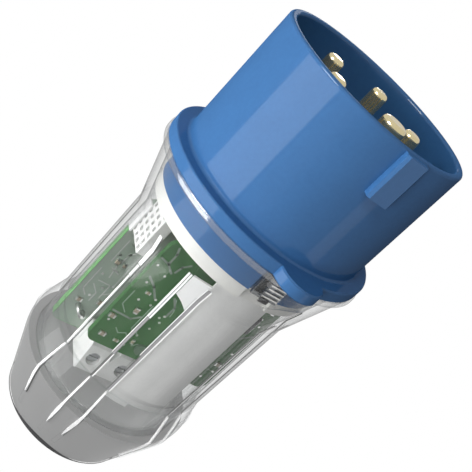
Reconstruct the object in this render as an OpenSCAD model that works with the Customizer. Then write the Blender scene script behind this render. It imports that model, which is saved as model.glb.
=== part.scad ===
/* [Shroud] */
// Outer diameter of the contact shroud
shroud_d = 57; // [55.5:0.5:60]
// Wall of the contact shroud
shroud_wall = 2.2; // [1.8:0.1:2.4]
// Length of the shroud from the flange face to the lip
shroud_len = 37.3; // [36.5:0.1:40]
// Rounding of both lip edges
lip_round = 0.8; // [0.3:0.1:0.8]
// How far the mouth's floor lies above the flange
floor_rise = 1.3; // [0.6:0.1:3]
// Width of the key rib
key_w = 6.7; // [5:0.1:8]
// Height of the key rib above the shroud
key_h = 2.1; // [1:0.1:3]
// Length of the key rib
key_len = 12.8; // [8:0.1:20]

/* [Flange] */
// How far the flange stands out from the shroud
flange_lip = 3.9; // [3.5:0.1:5]
// Thickness of the flange
flange_t = 3.4; // [3:0.1:5]
// Rounding of the flange's rim
rim_round = 0.5; // [0.2:0.1:1]
// Radius of the lug on the flange
lug_r = 6.8; // [5.5:0.1:8]
// How far the lug's centre lies inside the flange's rim
lug_inset = 1.7; // [0.5:0.1:3]
// Gap between the spigot and the housing's cone, at the catch's lower edge
spigot_gap = 0.9; // [0.8:0.1:1.4]
// Wall of the spigot
spigot_wall = 2.3; // [2:0.1:2.6]

/* [Contacts] */
// Diameter of the circle through the contact pins
pin_circle_d = 28; // [26:0.1:30]
// Diameter of the phase and neutral pins
phase_d = 5; // [4:0.1:6]
// Diameter of the earth pin
earth_d = 7; // [6:0.1:8]
// Free length of the phase and neutral pins
phase_len = 34; // [28:0.1:35]
// How much longer the earth pin is
earth_extra = 1.9; // [0.5:0.1:2]
// Rounding of a pin's tip
tip_round = 1.3; // [0.5:0.1:1.8]
// How much thicker a pin's root is than its free length, on the radius
root_step = 0.7; // [0.4:0.1:1]
// Thickness of the collar that holds a pin
pin_collar_t = 1.6; // [1:0.1:2]
// Diameter of a pin's rear stem
stem_d = 4.4; // [3:0.1:4.8]
// Depth of the contact carrier
carrier_depth = 12; // [11:0.1:12.5]
// Thickness of the carrier's seat lip
carrier_lip_t = 2; // [1.5:0.1:3]
// Thickness of the contact holder behind the spigot
holder_t = 3.9; // [3:0.1:4.2]
// Height of the holder's hub inside the spigot
hub_h = 0.7; // [0.5:0.1:1.5]
// Radius of the circle of the holder's screws
holder_screw_circle_r = 19.5; // [19:0.1:20]
// Diameter of a holder screw's shank
holder_screw_d = 2.8; // [2:0.1:3]
// Thickness of a contact lead's strip
lead_t = 0.8; // [0.5:0.1:1]
// Width of a contact lead's strip
lead_w = 3; // [2:0.1:3.6]

/* [Housing] */
// Length of the closed body from the tail end to the flange
body_len = 90.3; // [89:0.1:96]
// How far the collar's rim lies inside the flange's rim
collar_inset = 0.2; // [0:0.1:0.6]
// Length of the conical collar
cone_len = 20.8; // [19:0.1:22]
// Outer radius of the housing below the collar
neck_r = 26.1; // [26:0.1:27]
// How far the waist lies inside that radius
waist_inset = 0.5; // [0.3:0.1:0.6]
// Wall of the conical collar
housing_wall = 2; // [1.7:0.1:2.1]
// Wall of the barrel at the waist
barrel_wall = 1.6; // [1.3:0.1:1.7]
// Height of the guide rails inside the barrel
rail_h = 0.7; // [0.3:0.1:0.8]
// Width of a guide rail
rail_w = 1.2; // [0.8:0.1:1.6]
// How far the threaded neck lies inside the waist
neck_step = 0.9; // [0.7:0.1:1.1]
// How far the threaded neck ends above the tail end
neck_end_z = 21; // [20.5:0.1:22]

/* [Gland] */
// Length of the gland nut
nut_len = 31.9; // [30.5:0.1:33]
// How far the nut's front edge stands out from the waist
nut_front_step = 0.15; // [0.05:0.05:0.5]
// How far the nut's bulge stands out from its front edge
crest_swell = 2.45; // [2:0.05:3]
// Height of the nut's crest above the tail end
crest_z = 22.3; // [21.5:0.1:24]
// Half length of the rounding over the crest
crest_blend = 3.6; // [2:0.1:3.6]
// Outer radius of the nut's tail end
tail_r = 20.8; // [20.6:0.1:22]
// Rounding of the tail end's edge
tail_round = 0.9; // [0.4:0.1:1.2]
// Wall of the nut's cone
nut_wall = 2; // [1.8:0.1:2.2]
// Thickness of the nut's end wall
nut_end_t = 1.8; // [1.5:0.1:2.2]
// Diameter of the cable inlet in the nut
inlet_d = 16; // [12:0.1:16]
// Diameter of the bore of the cable seal
seal_bore_d = 15; // [8:0.1:15]
// Wall of the cable seal
seal_wall = 3.4; // [2:0.1:4]
// Height of the cable seal
seal_h = 5; // [4:0.1:6]
// Height of the grip ribs on the nut
grip_h = 0.35; // [0.2:0.05:0.6]

/* [Boards] */
// Thickness of both circuit boards
board_t = 1.6; // [1:0.1:1.6]
// Distance of the main board's middle in front of the axis
main_board_y = 12; // [11.5:0.1:12.1]
// Length of the main board
main_board_len = 38.5; // [34:0.1:39]
// Corner radius of the boards
board_corner_r = 2.5; // [1:0.1:4]
// Distance of the rear board's middle behind the axis
rear_board_y = 6; // [5.6:0.1:6.3]
// Gap from the threaded neck's end up to the rear board
rear_board_rise = 3; // [2.6:0.1:6]
// Gap from the contact holder to the main board
main_board_gap = 1.8; // [1.6:0.1:4]
// Gap from the contact holder to the rear board
rear_board_gap = 4.8; // [2:0.1:6]
// Radius of the posts between the boards
post_r = 2.2; // [1.6:0.1:2.4]
// Distance of the lower posts below the transformer
post_drop = 3.5; // [3:0.1:4.5]
// Half angle of the cover
cover_half_angle = 21.5; // [18:0.5:21.5]
// Wall of the cover
cover_wall = 1.4; // [1:0.1:1.8]
// How far the cover stands above the main board's upper edge
cover_overhang = 1.2; // [0.2:0.1:1.5]
// How far the cover ends above the rear board's lower edge
cover_rise = 6.2; // [5:0.1:12]
// Height of the tab on the cover's lower edge
cover_tab_h = 1.4; // [0.8:0.1:2]

/* [Board parts] */
// Width of the relay
relay_w = 10; // [8:0.1:10.5]
// Depth of the relay from the rear board
relay_d = 12.2; // [10:0.1:13]
// Length of the relay along the plug
relay_h = 20; // [16:0.1:22]
// Distance of the relay's near side from the middle
relay_x = 9; // [8:0.1:10]
// Width of the transformer's core
core_w = 11; // [9:0.1:12]
// Depth of the transformer's core
core_d = 11; // [9:0.1:13]
// Length of the transformer's core along the plug
core_h = 14; // [12:0.1:15]
// Distance of the transformer and the relay above the rear board's lower edge
coil_rise = 20; // [20:0.1:23]
// Thickness of the core's legs
core_leg = 2.4; // [2:0.1:3]
// Radius of a capacitor's can
can_r = 4; // [3:0.1:4]
// Height of a capacitor
can_h = 12.6; // [10:0.1:13]
// Gap from the relay down to the near capacitor
can_gap = 2; // [1:0.1:3]
// Edge of the square control chip
chip_w = 10; // [7:0.1:12]
// Width of the two small chips
small_chip_w = 5; // [3.9:0.1:5.2]
// Length of the two small chips
small_chip_h = 6.2; // [4.9:0.1:7]
// Thickness of the chips
chip_t = 1.4; // [0.9:0.1:1.8]
// Distance of the small chips from the middle
small_chip_x = 13.2; // [12.5:0.1:15]
// Distance of the front chip below the main board's upper edge
small_chip_drop = 11; // [8:0.1:16]
// Distance of the square chip above the transformer's lower end
chip_gap = 1; // [0:0.1:2]
// Height of the white header along the plug
header_h = 13.4; // [11:0.1:14]
// Depth of the header from the rear board
header_d = 10.7; // [9:0.1:11]
// Width of the header's body
header_w = 3.6; // [3:0.1:4.5]
// Radius of the bent link's wire
link_wire_r = 0.7; // [0.4:0.1:0.8]
// Radius of the link's bend
link_bend_r = 1.6; // [1.2:0.1:2]

/* [Terminal block] */
// Distance between the poles
pole_pitch = 9.6; // [9.2:0.1:9.8]
// Distance of the outer poles from the block's ends
pole_side = 3.1; // [2.9:0.1:3.6]
// Height of the terminal blocks along the plug
block_h = 10; // [9:0.1:10.5]
// Depth of the front block from the rear board
block_d = 13.2; // [12:0.1:14]
// Depth of the rear block from the rear board
rear_block_d = 10; // [9.6:0.1:12]
// How far the front block stands below the rear board
block_drop = 3; // [2:0.1:3.5]
// Diameter of a terminal screw's head
term_screw_d = 3.9; // [3.4:0.1:4.2]
// Edge of a wire clamp's square frame
clamp_size = 4.4; // [3.8:0.1:4.6]

/* [Catch] */
// Distance of the catch below the flange
catch_drop = 5.4; // [5:0.1:6]
// Width of the lock catch's button
catch_w = 5.2; // [4:0.1:6]
// Height of the lock catch's button
catch_h = 5.4; // [4:0.1:5.6]
// How far the catch's plate reaches past the button
catch_plate_lip = 1.4; // [1:0.1:1.6]
// How far the catch moves when it is pressed
catch_travel = 1.2; // [0.6:0.1:1.2]

/* [Hidden] */
$fn = 96;

// Clearances
fit = 0.1;
slide_gap = 0.3;
seat_gap = 0.2;
eps = 0.05;

// Levels along the plug, from the tail end up
flange_z = body_len;
flange_top = flange_z + flange_t;
lip_z = flange_top + shroud_len;
face_z = flange_top + floor_rise;
ledge_z = face_z - carrier_lip_t;
carrier_rear_z = face_z - carrier_depth;
hub_top_z = carrier_rear_z - pin_collar_t;
spigot_z = hub_top_z - hub_h;
holder_z = spigot_z - holder_t;
cone_z = flange_z - cone_len;
shoulder_z = nut_len + slide_gap;
neck_run = 2;

// Radii of the nose
shroud_r = shroud_d / 2;
bore_r = shroud_r - shroud_wall;
flange_r = shroud_r + flange_lip;
lug_y = flange_r - lug_inset;
base_fillet = 0.8;

// Radii of the housing
collar_r = flange_r - collar_inset;
waist_r = neck_r - waist_inset;
barrel_in_r = waist_r - barrel_wall;
rail_in_r = barrel_in_r - rail_h;
neck_thread_r = waist_r - neck_step;
cone_slope = (collar_r - neck_r) / cone_len;
function cone_out_r(z) = neck_r + cone_slope * (z - cone_z);
function cone_in_r(z) = cone_out_r(z) - housing_wall;
catch_z = flange_z - catch_drop;
catch_low_z = catch_z - catch_h / 2 - catch_plate_lip;
spigot_r = cone_in_r(catch_low_z) - spigot_gap;
spigot_in_r = spigot_r - spigot_wall;
holder_r = cone_in_r(holder_z) - slide_gap;
cone_in_z = cone_z + (barrel_in_r - neck_r + housing_wall) / cone_slope;
seal_mid_r = collar_r - housing_wall / 2;
gasket_w = 1;
gasket_t = 1;

// Contacts, numbered round the circle from the key
pin_circle_r = pin_circle_d / 2;
pin_step = 72;
phase_root_r = phase_d / 2 + root_step;
earth_root_r = earth_d / 2 + root_step;
pin_collar_lip = 1;
stem_out = 0.8;
screw_angles = [-126, -54, 90];
screw_head_r = 2.6;
screw_head_h = 1.5;
screw_grip = 5;

// Rails run at these angles from the key, on both sides
rail_angles = [23.2, 36.3, 61.2, 105];
grip_angles = [23.2, 36.3, 61.2, 118.8, 143.7, 156.8];

// Nut and gland
nut_front_r = waist_r + nut_front_step;
crest_r = nut_front_r + crest_swell;
nut_bore_r = neck_thread_r + fit;
nut_bore_z = neck_end_z - 2;
cone_low_z = crest_z - crest_blend;
cone_low_r = crest_r - 1.2;
tail_slope = (cone_low_r - tail_r) / (cone_low_z - tail_round);
function nut_in_r(z) = tail_r + tail_slope * (z - tail_round) - nut_wall;
insert_z = nut_end_t + slide_gap;
seal_z = insert_z + seat_gap;
seal_r = seal_bore_d / 2 + seal_wall;
pocket_top_z = seal_z + seal_h;
throat_t = 1.6;
insert_rim = 1.8;

// Boards
main_front_y = -main_board_y - board_t / 2;
main_back_y = -main_board_y + board_t / 2;
rear_front_y = rear_board_y - board_t / 2;
rear_back_y = rear_board_y + board_t / 2;
main_top_z = holder_z - main_board_gap;
main_low_z = main_top_z - main_board_len;
rear_top_z = holder_z - rear_board_gap;
rear_low_z = neck_end_z + rear_board_rise;
cover_top_z = main_top_z + cover_overhang;
cover_low_z = rear_low_z + cover_rise;
main_board_half = sqrt(barrel_in_r * barrel_in_r - main_front_y * main_front_y) - slide_gap;
rear_board_half = sqrt(rail_in_r * rail_in_r - rear_back_y * rear_back_y) - seat_gap;
cover_r = rail_in_r - seat_gap;
coil_low_z = rear_low_z + coil_rise;
post_levels = [(coil_low_z + core_h + rear_top_z) / 2, coil_low_z - post_drop];
rivet_r = 1.2;
rivet_head_r = 1.8;
rivet_head_t = 0.8;
post_x = cover_r * sin(cover_half_angle) - cover_wall - rivet_head_r - 2 * slide_gap;
lead_drop = 7;
lead_low_z = holder_z - stem_out - lead_drop;
header_x = rear_board_half - slide_gap;
header_rise = 3.6;
link_x = -16.6;
link_rise = 6.5;
link_z = rear_low_z + link_rise;
link_angle = 35;

// Terminal blocks: three poles before the rear board, two behind it
front_poles = 3;
rear_poles = 2;
block_z = rear_low_z - block_drop;
rear_block_z = rear_low_z + block_drop / 2;
pole_h = block_h / 2;
clamp_wall = 0.5;
clamp_depth = 4.3;
function pole_x(i, n) = (i - (n - 1) / 2) * pole_pitch;

// Lock catch
catch_plate_t = 0.7;
catch_plate_y = spigot_r;
catch_button_y = cone_in_r(catch_z) + 0.2;
catch_stem = 1.1;

// Points of an arc about (x, y), from angle a to angle b
function arc(x, y, r, a, b, n = 6) =
    [for (i = [0:n]) [x + r * cos(a + (b - a) * i / n), y + r * sin(a + (b - a) * i / n)]];

// Points of a curve that leaves p towards q and ends at s
function bend(p, q, s, n = 8) =
    [for (i = [0:n]) pow(1 - i / n, 2) * p + 2 * (i / n) * (1 - i / n) * q + pow(i / n, 2) * s];

// A child placed on the contact circle, k steps round from the key
module at_contact(k) {
    rotate([0, 0, -90 + pin_step * k]) translate([pin_circle_r, 0, 0]) children();
}

// A child turned to an angle from the key, on both sides
module both_sides(angle) {
    for (side = [-1, 1]) rotate([0, 0, -90 + side * angle]) children();
}

module disc(r, z, h) {
    translate([0, 0, z]) cylinder(r = r, h = h);
}

// A plate in the plane of the boards, from its front face back
module board_plate(half, low, high, front_y, corner) {
    width = 2 * half;
    translate([0, front_y + board_t, (low + high) / 2]) rotate([90, 0, 0])
        linear_extrude(board_t) rounded_rect(width, high - low, corner);
}

// A rectangle about the origin with round corners
module rounded_rect(w, h, r) {
    x = w / 2 - r;
    y = h / 2 - r;
    polygon(concat(
        arc(x, y, r, 0, 90), arc(-x, y, r, 90, 180), arc(-x, -y, r, 180, 270), arc(x, -y, r, 270, 360)
    ));
}

// A box given by its low corner and its size, with bevelled edges along Z
module bevel_box(low, size, bevel) {
    x = size[0];
    y = size[1];
    translate(low) linear_extrude(size[2]) polygon([
        [bevel, 0], [x - bevel, 0], [x, bevel], [x, y - bevel],
        [x - bevel, y], [bevel, y], [0, y - bevel], [0, bevel]
    ]);
}

// Half section of the nose from outside: spigot, flange, shroud and lip
function nose_outline() = concat(
    [[0, spigot_z], [spigot_r, spigot_z], [spigot_r, flange_z]],
    arc(flange_r - rim_round, flange_z + rim_round, rim_round, -90, 0),
    arc(flange_r - rim_round, flange_top - rim_round, rim_round, 0, 90),
    arc(shroud_r + base_fillet, flange_top + base_fillet, base_fillet, -90, -180),
    arc(shroud_r - lip_round, lip_z - lip_round, lip_round, 0, 90),
    [[0, lip_z]]
);

// Half section of the nose's bore, flared at the lip
function bore_outline() = concat(
    [[0, spigot_z - 1], [spigot_in_r, spigot_z - 1], [spigot_in_r, ledge_z], [bore_r, ledge_z]],
    arc(bore_r + lip_round, lip_z - lip_round, lip_round, 180, 90),
    [[bore_r + lip_round, lip_z + 1], [0, lip_z + 1]]
);

// A round lug with bevelled edges, centred near the flange's rim
module lug(r, z, h, bevel) {
    translate([0, -lug_y, z]) rotate_extrude() polygon([
        [0, 0], [r - bevel, 0], [r, bevel], [r, h - bevel], [r - bevel, h], [0, h]
    ]);
}

module key_rib() {
    bevel = 0.7;
    out = shroud_r + key_h;
    half = key_w / 2;
    top = lip_z - lip_round / 2;
    translate([0, 0, top - key_len]) linear_extrude(key_len) polygon([
        [-half, -bore_r - 1], [-half, -out + bevel], [-half + bevel, -out],
        [half - bevel, -out], [half, -out + bevel], [half, -bore_r - 1]
    ]);
}

module catch_pocket() {
    plate_w = catch_w + 2 * catch_plate_lip + 2 * slide_gap;
    plate_h = catch_h + 2 * catch_plate_lip + 2 * slide_gap;
    floor_y = spigot_r - catch_travel - seat_gap;
    stem_w = catch_w + 2 * slide_gap;
    stem_h = catch_h + 2 * slide_gap;
    translate([-plate_w / 2, -spigot_r - 1, catch_z - plate_h / 2])
        cube([plate_w, spigot_r + 1 - floor_y, plate_h]);
    translate([-stem_w / 2, -spigot_r - 1, catch_z - stem_h / 2])
        cube([stem_w, spigot_wall + 2, stem_h]);
}

module nose_shroud() {
    color("#3f76b5") difference() {
        union() {
            rotate_extrude() polygon(nose_outline());
            lug(lug_r, flange_z, flange_t, rim_round * 0.8);
            key_rib();
        }
        rotate_extrude() polygon(bore_outline());
        gasket_groove();
        catch_pocket();
    }
}

module gasket_groove() {
    difference() {
        disc(seal_mid_r + gasket_w / 2 + fit, flange_z - 1, gasket_t + fit + 1);
        disc(seal_mid_r - gasket_w / 2 - fit, flange_z - 2, gasket_t + 4);
    }
}

module nose_seal() {
    color("#2b2b2b") difference() {
        disc(seal_mid_r + gasket_w / 2, flange_z, gasket_t);
        disc(seal_mid_r - gasket_w / 2, flange_z - 1, gasket_t + 2);
    }
}

module contact_carrier() {
    dish_r = 7;
    dish_t = 1;
    color("#27476f") difference() {
        union() {
            disc(spigot_in_r - fit, carrier_rear_z, carrier_depth);
            disc(bore_r - fit, ledge_z, carrier_lip_t);
        }
        disc(dish_r, face_z - dish_t, dish_t + 1);
        at_contact(0) disc(earth_root_r + eps, carrier_rear_z - 1, carrier_depth + 2);
        for (k = [1:4]) at_contact(k) disc(phase_root_r + eps, carrier_rear_z - 1, carrier_depth + 2);
        at_screws() disc(holder_screw_d / 2 + eps, carrier_rear_z - 1, screw_grip + 1);
    }
}

module at_screws() {
    for (a = screw_angles) rotate([0, 0, a]) translate([holder_screw_circle_r, 0, 0]) children();
}

// A turned contact: free length, root, collar and rear stem
module contact_pin(d, free_len, root_r) {
    r = d / 2;
    tip = face_z + free_len;
    stem_r = stem_d / 2;
    collar = root_r + pin_collar_lip;
    rotate_extrude() polygon(concat(
        [[0, holder_z - stem_out], [stem_r - 0.4, holder_z - stem_out], [stem_r, holder_z - stem_out + 0.4]],
        [[stem_r, hub_top_z], [collar, hub_top_z], [collar, carrier_rear_z]],
        [[root_r, carrier_rear_z], [root_r, face_z], [r, face_z]],
        arc(r - tip_round, tip - tip_round, tip_round, 0, 90),
        [[0, tip]]
    ));
}

module phase_pin(k) {
    color("#c9b27a") at_contact(k) contact_pin(phase_d, phase_len, phase_root_r);
}

module contact_pin_l1() {
    phase_pin(1);
}

module contact_pin_l2() {
    phase_pin(2);
}

module contact_pin_l3() {
    phase_pin(3);
}

module neutral_pin() {
    phase_pin(4);
}

module earth_pin() {
    color("#c9b27a") at_contact(0) contact_pin(earth_d, phase_len + earth_extra, earth_root_r);
}

module contact_holder() {
    notch_w = catch_w + 2 * catch_plate_lip + 2 * slide_gap;
    wire_hole_r = 6;
    stem_r = stem_d / 2 + fit;
    color("#ebe9e2") difference() {
        union() {
            disc(holder_r, holder_z, holder_t);
            disc(spigot_in_r - fit, spigot_z, hub_h);
        }
        disc(wire_hole_r, holder_z - 1, holder_t + hub_h + 2);
        for (k = [0:4]) at_contact(k) disc(stem_r, holder_z - 1, holder_t + hub_h + 2);
        at_screws() disc(holder_screw_d / 2 + seat_gap, holder_z - 1, holder_t + hub_h + 2);
        translate([-notch_w / 2, -holder_r - 1, holder_z - 1])
            cube([notch_w, holder_r + 1 - spigot_in_r, holder_t + 1]);
    }
}

module holder_screws() {
    slot_w = 0.7;
    slot_t = 0.8;
    color("#b9bcc0") at_screws() difference() {
        union() {
            disc(screw_head_r, holder_z - screw_head_h, screw_head_h);
            disc(holder_screw_d / 2, holder_z - eps, carrier_rear_z - holder_z + screw_grip - 0.5);
        }
        translate([-screw_head_r - 1, -slot_w / 2, holder_z - screw_head_h - 1])
            cube([2 * screw_head_r + 2, slot_w, slot_t + 1]);
    }
}

// A strip under a stem's end that turns down along a board's face
module lead(k, foot_y, leg_side) {
    angle = -90 + pin_step * k;
    x = pin_circle_r * cos(angle);
    y = pin_circle_r * sin(angle);
    top = holder_z - stem_out;
    low = min(y, foot_y);
    high = max(y, foot_y);
    leg_y = leg_side > 0 ? foot_y : foot_y - lead_t;
    translate([x - lead_w / 2, low - (leg_side > 0 ? 0 : lead_t), top - lead_t])
        cube([lead_w, high - low + lead_t, lead_t]);
    translate([x - lead_w / 2, leg_y, lead_low_z]) cube([lead_w, lead_t, lead_drop]);
}

module contact_leads() {
    color("#b87a4b") {
        lead(0, main_front_y, -1);
        for (k = [1, 4]) lead(k, main_back_y, 1);
        for (k = [2, 3]) lead(k, rear_back_y, 1);
    }
}

// Half section of the clear housing from outside: neck, barrel and collar
function housing_outline() = [
    [0, neck_end_z], [neck_thread_r, neck_end_z], [neck_thread_r, shoulder_z], [waist_r, shoulder_z],
    [neck_r, cone_z], [collar_r, flange_z], [0, flange_z]
];

// Half section of its hollow, open at both ends
function hollow_outline() = [
    [0, neck_end_z - 1], [rail_in_r, neck_end_z - 1],
    [rail_in_r, shoulder_z], [barrel_in_r, shoulder_z + neck_run],
    [barrel_in_r, cone_in_z], [cone_in_r(flange_z + 1), flange_z + 1], [0, flange_z + 1]
];

module guide_rails() {
    start = shoulder_z + neck_run + 0.4;
    sink = 0.6;
    for (a = rail_angles) both_sides(a) translate([rail_in_r, -rail_w / 2, start])
        cube([rail_h + sink, rail_w, cone_in_z - 0.4 - start]);
}

// The collar follows the flange's lug and runs out down the cone
module collar_lug() {
    lug_t = 2.6;
    run_out = 12;
    foot_r = 3;
    foot_sink = 1;
    foot_y = cone_out_r(flange_z - run_out) - foot_r - foot_sink;
    hull() {
        lug(lug_r - collar_inset, flange_z - lug_t, lug_t, 0.1);
        translate([0, -foot_y, flange_z - run_out]) cylinder(r = foot_r, h = 0.1, $fn = 32);
    }
}

module catch_window() {
    w = catch_w + 2 * slide_gap;
    h = catch_h + 2 * slide_gap;
    translate([-w / 2, -lug_y - lug_r - 1, catch_z - h / 2]) cube([w, lug_r + 6, h]);
}

module clear_housing() {
    color("#dfe6ee", 0.35) union() {
        difference() {
            union() {
                rotate_extrude() polygon(housing_outline());
                collar_lug();
            }
            rotate_extrude() polygon(hollow_outline());
            catch_window();
        }
        guide_rails();
    }
}

module lock_catch() {
    plate_w = catch_w + 2 * catch_plate_lip;
    plate_h = catch_h + 2 * catch_plate_lip;
    stem_w = catch_w - 0.6;
    stem_h = catch_h - 0.6;
    color("#4a4c50") union() {
        translate([-catch_w / 2, -catch_button_y, catch_z - catch_h / 2])
            cube([catch_w, catch_button_y - catch_plate_y, catch_h]);
        translate([-plate_w / 2, -catch_plate_y - catch_plate_t, catch_z - plate_h / 2])
            cube([plate_w, catch_plate_t, plate_h]);
        translate([-stem_w / 2, -catch_plate_y, catch_z - stem_h / 2])
            cube([stem_w, catch_stem, stem_h]);
    }
}

// Outer outline of the nut, from the tail end's edge up to the front edge
function nut_flank(out) = concat(
    arc(tail_r - tail_round + out, tail_round, tail_round, -90, 0),
    bend(
        [cone_low_r + out, cone_low_z], [crest_r + out, crest_z],
        [crest_r - 1 + out, crest_z + crest_blend]
    ),
    [[nut_front_r + out, nut_len]]
);

module gland_nut() {
    rib_low = 5;
    rib_high = nut_len - 5;
    color("#dfe6ee", 0.35) difference() {
        union() {
            rotate_extrude() polygon(concat([[0, 0]], nut_flank(0), [[0, nut_len]]));
            intersection() {
                rotate_extrude() polygon(concat([[0, 0]], nut_flank(grip_h), [[0, nut_len]]));
                for (a = grip_angles) both_sides(a) translate([tail_r / 2, -rail_w / 2, rib_low])
                    cube([crest_r, rail_w, rib_high - rib_low]);
            }
        }
        rotate_extrude() polygon([
            [0, nut_end_t], [nut_in_r(nut_end_t), nut_end_t],
            [min(nut_in_r(nut_bore_z), nut_bore_r), nut_bore_z], [nut_bore_r, nut_bore_z],
            [nut_bore_r, nut_len + 1], [0, nut_len + 1]
        ]);
        disc(inlet_d / 2, -1, nut_end_t + 2);
    }
}

module gland_insert() {
    gap = slide_gap + 0.05;
    cone_top_z = nut_bore_z - slide_gap;
    throat_r = seal_bore_d / 2 + 0.3;
    rim_r = nut_bore_r - gap;
    color("#8f9193") difference() {
        rotate_extrude() polygon([
            [0, insert_z], [nut_in_r(insert_z) - gap, insert_z],
            [min(nut_in_r(cone_top_z), nut_bore_r) - gap, cone_top_z],
            [rim_r, nut_bore_z], [rim_r, neck_end_z], [0, neck_end_z]
        ]);
        disc(seal_r + eps, insert_z - 1, pocket_top_z - insert_z + 1);
        disc(throat_r, insert_z, neck_end_z);
        rotate_extrude() polygon([
            [0, pocket_top_z + throat_t], [throat_r, pocket_top_z + throat_t],
            [rim_r - insert_rim, neck_end_z], [rim_r - insert_rim, neck_end_z + 1], [0, neck_end_z + 1]
        ]);
    }
}

module cable_seal() {
    groove = 0.6;
    r = seal_bore_d / 2;
    step = seal_h / 5;
    color("#3a3a3a") rotate_extrude() polygon(concat(
        [[r, pocket_top_z], [r, seal_z]],
        [for (i = [0:5]) [seal_r - (i % 2 == 1 ? groove : 0), seal_z + step * i]],
        [[seal_r - groove, pocket_top_z]]
    ));
}

module post_holes(front_y) {
    for (z = post_levels, side = [-1, 1])
        translate([side * post_x, front_y - 1, z]) rotate([-90, 0, 0])
            cylinder(r = rivet_r + fit, h = board_t + 2);
}

module main_board() {
    color("#3f7a45") difference() {
        board_plate(main_board_half, main_low_z, main_top_z, main_front_y, board_corner_r);
        post_holes(main_front_y);
    }
}

module rear_board() {
    color("#5a8a62") difference() {
        board_plate(rear_board_half, rear_low_z, rear_top_z, rear_front_y, board_corner_r / 2);
        post_holes(rear_front_y);
        at_link_legs() translate([0, -1, 0]) rotate([-90, 0, 0])
            cylinder(r = link_wire_r + fit, h = board_t + 2);
    }
}

// A child at each leg of the bent link, on the rear board's front face
module at_link_legs() {
    translate([link_x, rear_front_y, link_z]) rotate([0, link_angle, 0])
        for (side = [-1, 1]) translate([side * link_bend_r, 0, 0]) children();
}

// A riveted post from the front face of one board to the back face of the other
module board_post() {
    span = rear_front_y - main_back_y;
    rotate([-90, 0, 0]) rotate_extrude() polygon([
        [0, -board_t - rivet_head_t], [rivet_head_r, -board_t - rivet_head_t], [rivet_head_r, -board_t],
        [rivet_r, -board_t], [rivet_r, 0], [post_r, 0], [post_r, span], [rivet_r, span],
        [rivet_r, span + board_t], [rivet_head_r, span + board_t],
        [rivet_head_r, span + board_t + rivet_head_t], [0, span + board_t + rivet_head_t]
    ]);
}

module board_posts() {
    color("#d8d3c2") for (z = post_levels, side = [-1, 1])
        translate([side * post_x, main_back_y, z]) board_post();
}

// A shell over the main board: a curved front with a tab below, on two webs that end under the lead
module inner_cover() {
    low = cover_low_z;
    full = cover_top_z - low + cover_tab_h;
    in_r = cover_r - cover_wall;
    web_x = 1.5;
    front_y = cover_r - cover_wall / 2;
    reach = cover_r + 5;
    tab_angle = -5;
    color("#c3c5c6") union() {
        difference() {
            intersection() {
                disc(cover_r, low - cover_tab_h, full);
                translate([0, 0, low - cover_tab_h]) linear_extrude(full) polygon([
                    [0, 0], [-reach * tan(cover_half_angle), -reach], [reach * tan(cover_half_angle), -reach]
                ]);
            }
            disc(in_r, low - cover_tab_h - 1, full + 2);
            translate([cover_r * sin(tab_angle), -reach, low - cover_tab_h - 1])
                cube([cover_r, reach, cover_tab_h + 1]);
        }
        for (side = [-1, 1])
            translate([side * web_x - cover_wall / 2, -front_y, low])
                cube([cover_wall, front_y + main_front_y, lead_low_z - slide_gap - low]);
    }
}

// A child for each block, in its own frame: the board's face at y = 0, the block towards -Y
module at_front_block() {
    translate([0, rear_front_y, block_z]) children();
}

module at_rear_block() {
    translate([0, rear_back_y, rear_block_z]) rotate([0, 0, 180]) children();
}

// A block's side view: a leaning front and a step at the board
module block_side(d) {
    step = 2.2;
    bevel = 0.8;
    lean = 1.4;
    polygon([
        [-d, bevel], [bevel - d, 0], [0, 0], [0, block_h - step], [-step, block_h],
        [lean + bevel - d, block_h], [lean - d, block_h - bevel]
    ]);
}

// A block's front view: a valley between neighbouring poles
module block_front(n, half) {
    valley_half = 2;
    valley_z = block_h * 0.6;
    top = block_h + 1;
    polygon(concat(
        [[-half - 1, -1], [half + 1, -1], [half + 1, top]],
        [
            for (i = [n - 2:-1:0])
                for (side = [1, 0, -1])
                    [pole_x(i + 0.5, n) + side * valley_half, side == 0 ? valley_z : top]
        ],
        [[-half - 1, top]]
    ));
}

module block_body(n, d) {
    half = pole_x(n - 1, n) + pole_side;
    hole_r = term_screw_d / 2 + 0.15;
    cavity = clamp_size + 2 * fit;
    difference() {
        intersection() {
            translate([-half, 0, 0]) rotate([90, 0, 90]) linear_extrude(2 * half) block_side(d);
            translate([0, 1, 0]) rotate([90, 0, 0]) linear_extrude(d + 2) block_front(n, half);
        }
        for (i = [0:n - 1]) translate([pole_x(i, n), 0, 0]) {
            translate([0, -d - 1, pole_h]) rotate([-90, 0, 0])
                cylinder(r = hole_r, h = clamp_depth + 1.5);
            translate([-cavity / 2, clamp_depth - d, -1]) cube([cavity, cavity, block_h - 0.4]);
        }
    }
}

module terminal_block() {
    color("#e9e9e6") {
        at_front_block() block_body(front_poles, block_d);
        at_rear_block() block_body(rear_poles, rear_block_d);
    }
}

module block_screws(n, d) {
    head_t = 1.3;
    slot_w = 0.7;
    slot_t = 0.6;
    depth = 1.9;
    shank_r = term_screw_d / 2 - 0.5;
    for (i = [0:n - 1])
        translate([pole_x(i, n), depth - d, pole_h]) rotate([-90, 0, 0]) difference() {
            union() {
                cylinder(r = term_screw_d / 2, h = head_t);
                cylinder(r = shank_r, h = clamp_depth - depth);
            }
            translate([-term_screw_d, -slot_w / 2, -1]) cube([2 * term_screw_d, slot_w, 1 + slot_t]);
        }
}

module terminal_screws() {
    color("#c8c9cb") {
        at_front_block() block_screws(front_poles, block_d);
        at_rear_block() block_screws(rear_poles, rear_block_d);
    }
}

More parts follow.
